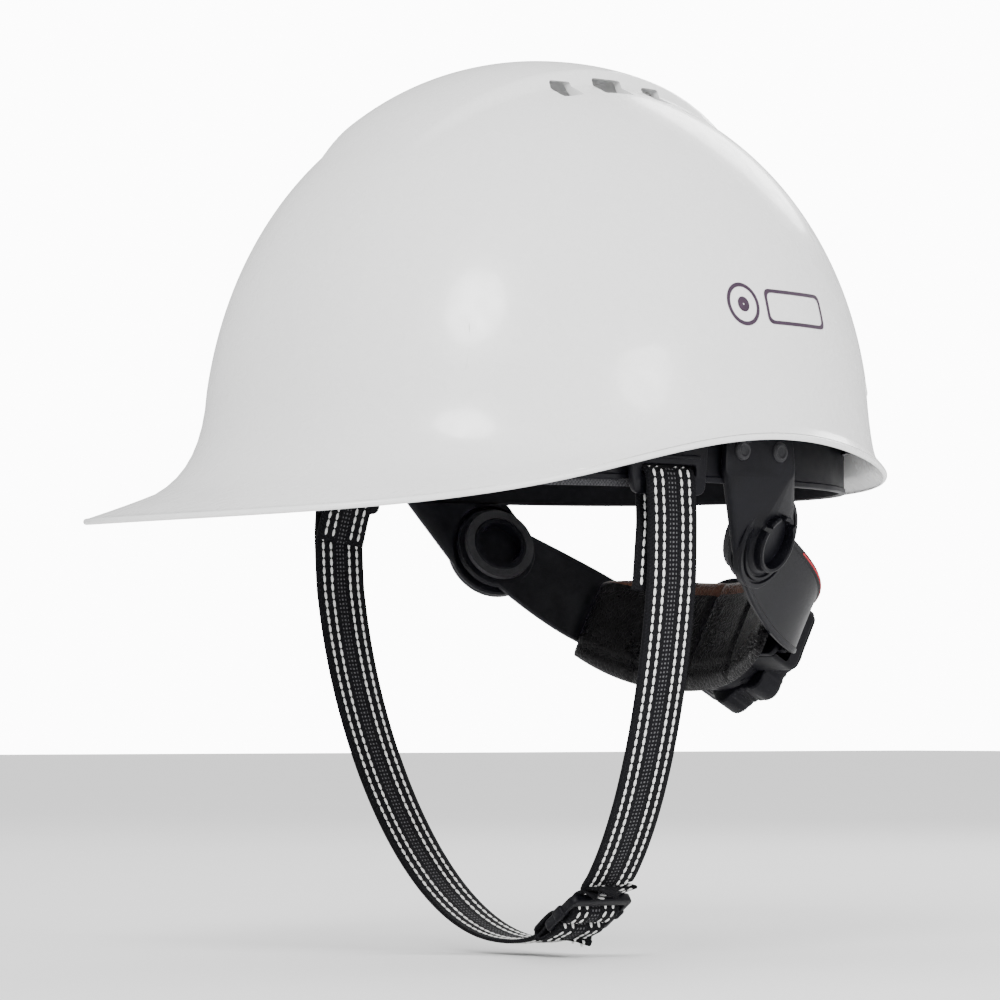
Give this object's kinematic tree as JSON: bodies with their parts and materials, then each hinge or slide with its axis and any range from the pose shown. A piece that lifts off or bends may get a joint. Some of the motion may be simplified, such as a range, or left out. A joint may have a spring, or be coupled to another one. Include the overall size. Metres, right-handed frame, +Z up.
{
  "type": "safety helmet",
  "caption": "Hard safety helmet with peak and crown vents, inner webbing cradle, headband, tilting ratchet nape band and a webbing chin strap with a ladder-lock buckle.",
  "frame": {"origin": "middle of the headband, where the wearer's head sits in the helmet", "axes": "-Y points to the peak, +X to the wearer's left, +Z up through the crown"},
  "size_m": [0.208, 0.275, 0.2852],
  "materials": {
    "shell_plastic": "glossy moulded white",
    "black_plastic": "satin moulded black",
    "grey_plastic": "satin moulded dark grey",
    "grey_webbing": "woven grey webbing",
    "black_webbing": "woven black webbing with white chain stitch",
    "sweat_cloth": "knitted black cloth over foam",
    "brown_pad": "brown padded lining",
    "steel": "plated steel"
  },
  "bodies": {
    "helmet": {"shell": "shell_plastic", "suspension_keys": "grey_plastic", "crown_strap_front": "grey_webbing", "crown_strap_middle": "grey_webbing", "crown_strap_rear": "grey_webbing", "headband": "black_plastic", "sweatband": "sweat_cloth", "side_plate_left": "black_plastic", "side_plate_right": "black_plastic", "plate_rivets": "grey_plastic", "strap_anchor_left": "black_plastic", "strap_anchor_right": "black_plastic", "strap_loop_left": "black_webbing", "strap_loop_right": "black_webbing", "boss_collar_left": "black_plastic", "boss_collar_right": "black_plastic"},
    "nape": {"nape_arm_left": "black_plastic", "nape_arm_right": "black_plastic", "nape_pad": "brown_pad", "ratchet_base": "black_plastic", "ratchet_cover": "black_plastic", "housing_screws": "steel", "detent_spring": "steel"},
    "ratchet_knob": {"pinion": "grey_plastic", "knob": "black_plastic", "knob_screw": "steel"},
    "left_rack": {"rack_left": "grey_plastic"},
    "right_rack": {"rack_right": "grey_plastic"},
    "chin_strap": {"chin_strap_right": "black_webbing", "chin_strap_left": "black_webbing", "buckle": "black_plastic"}
  },
  "joints": [
    {"name": "nape_tilt", "type": "hinge", "parent": "helmet", "child": "nape", "pos_m": [0, 0.03171, -0.01789], "axis": [1, 0, 0], "range_deg": [-6, 6]},
    {"name": "knob_turn", "type": "hinge", "parent": "nape", "child": "ratchet_knob", "pos_m": [0, 0.076, -0.0465], "axis": [0, 0.8829, -0.4695], "range_deg": [-90, 45]},
    {"name": "rack_slide_left", "type": "slide", "parent": "nape", "child": "left_rack", "axis": [1, 0, 0], "range_m": [-0.009, 0.0045]},
    {"name": "rack_slide_right", "type": "slide", "parent": "nape", "child": "right_rack", "axis": [1, 0, 0], "range_m": [-0.0045, 0.009]},
    {"name": "chin_strap_swing", "type": "hinge", "parent": "helmet", "child": "chin_strap", "pos_m": [0, -0.021, -0.009], "axis": [1, 0, 0], "range_deg": [-35, 20]}
  ],
  "couplings": [
    {"joint": "rack_slide_left", "follows": "knob_turn", "m_per_rad": 0.005},
    {"joint": "rack_slide_right", "follows": "knob_turn", "m_per_rad": -0.005}
  ]
}
